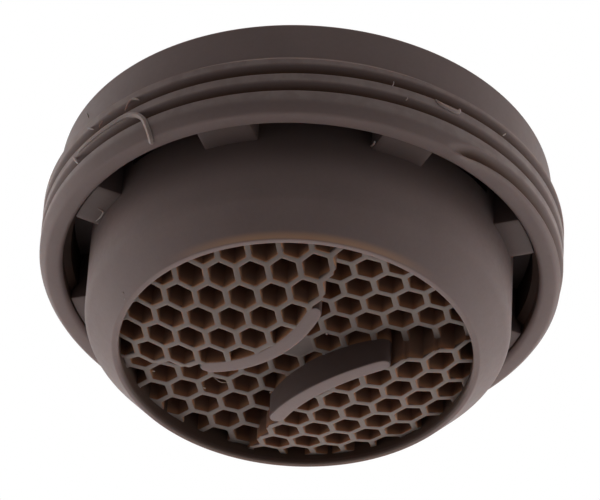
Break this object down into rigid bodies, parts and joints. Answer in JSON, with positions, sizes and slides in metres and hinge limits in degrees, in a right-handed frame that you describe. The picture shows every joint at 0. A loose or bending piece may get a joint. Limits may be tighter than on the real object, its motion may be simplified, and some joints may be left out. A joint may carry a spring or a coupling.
{
  "type": "tap aerator",
  "caption": "Screw-in tap aerator: ring with fine outside thread, lugged sleeve with domed honeycomb outlet and coin slot, mixing grids, jet plate, flow regulator, domed inlet filter.",
  "frame": {"origin": "on the axis, level with the lowest points of the two ribs beside the coin slot", "axes": "+Z along the axis towards the inlet, +X along the coin slot"},
  "size_m": [0.024, 0.024, 0.0141],
  "materials": {
    "ring_plastic": "matte moulded",
    "sleeve_plastic": "matte moulded",
    "insert_plastic": "matte moulded",
    "filter_plastic": "matte moulded",
    "seal_rubber": "matte"
  },
  "bodies": {
    "root": {"threaded_ring": "ring_plastic", "outlet_sleeve": "sleeve_plastic", "lower_mixing_grid": "insert_plastic", "upper_mixing_grid": "insert_plastic", "jet_plate": "insert_plastic", "regulator_body": "insert_plastic", "regulator_o_ring": "seal_rubber", "inlet_filter": "filter_plastic", "seal_washer": "seal_rubber"}
  },
  "joints": []
}
